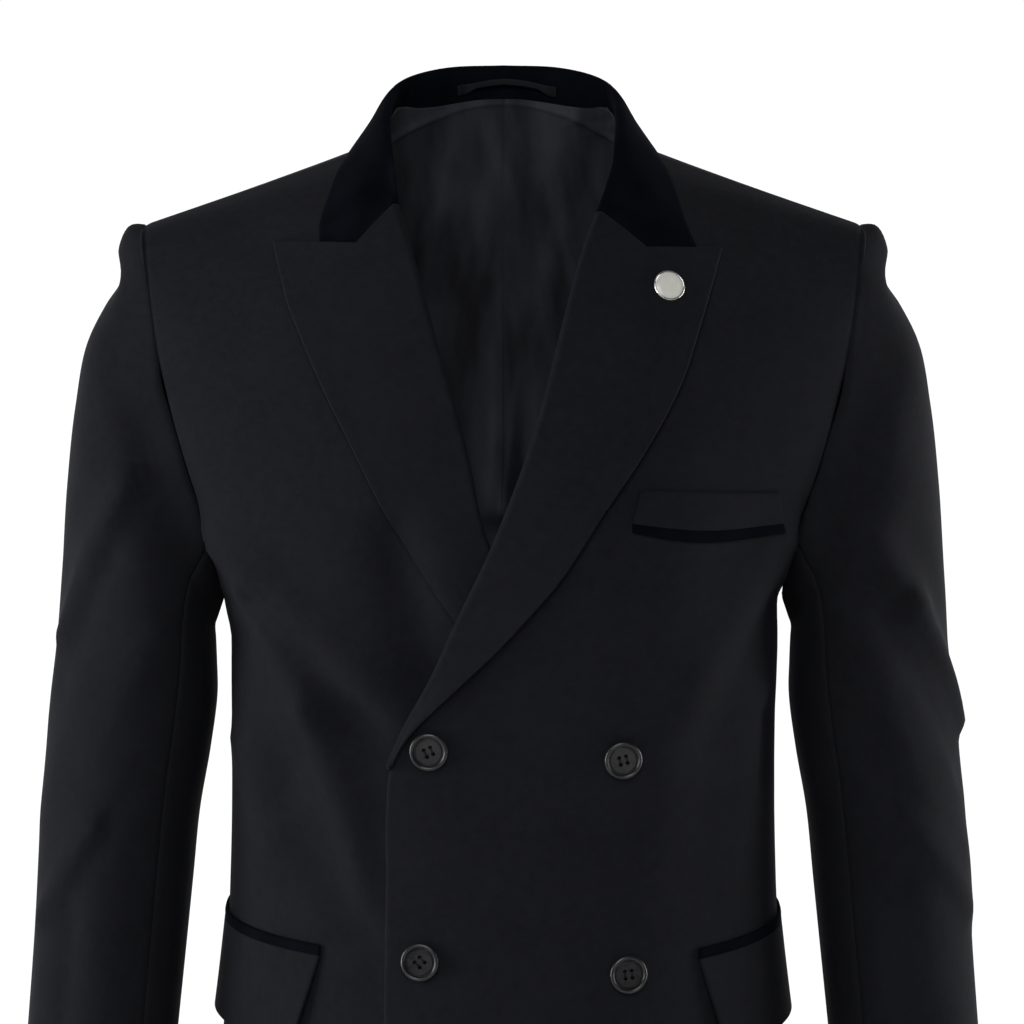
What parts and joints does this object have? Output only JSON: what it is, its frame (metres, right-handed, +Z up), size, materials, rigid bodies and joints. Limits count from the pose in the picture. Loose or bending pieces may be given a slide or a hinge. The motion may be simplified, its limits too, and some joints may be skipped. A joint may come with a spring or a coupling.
{
  "type": "overcoat",
  "caption": "Double-breasted wool overcoat with peak lapels, velvet collar, flap pockets and welted chest pocket, hollow in its worn form.",
  "frame": {"origin": "middle of the neck, level with the neck ends of the shoulder seams, where the coat is held", "axes": "+Z up, the front faces -Y, +X towards the wearer's left"},
  "size_m": [0.6334, 0.2902, 0.9579],
  "materials": {
    "charcoal_wool": "milled wool coating, matt with a soft nap",
    "black_velvet": "velvet pile",
    "black_satin": "satin lining with a soft sheen",
    "dark_resin": "semi-gloss, polished rim",
    "silver": "polished"
  },
  "bodies": {
    "root": {"front_left": "charcoal_wool", "front_right": "charcoal_wool", "back_left": "charcoal_wool", "back_right": "charcoal_wool", "top_sleeve_left": "charcoal_wool", "top_sleeve_right": "charcoal_wool", "under_sleeve_left": "charcoal_wool", "under_sleeve_right": "charcoal_wool", "lapel_left": "charcoal_wool", "lapel_right": "charcoal_wool", "collar": "black_velvet", "back_lining_left": "black_satin", "back_lining_right": "black_satin", "hanger_loop": "black_satin", "chest_welt": "charcoal_wool", "chest_welt_trim": "black_velvet", "pocket_flap_left": "charcoal_wool", "pocket_flap_right": "charcoal_wool", "pocket_trim_left": "black_velvet", "pocket_trim_right": "black_velvet", "button_upper_left": "dark_resin", "button_upper_right": "dark_resin", "button_lower_left": "dark_resin", "button_lower_right": "dark_resin", "lapel_pin": "silver"}
  },
  "joints": []
}
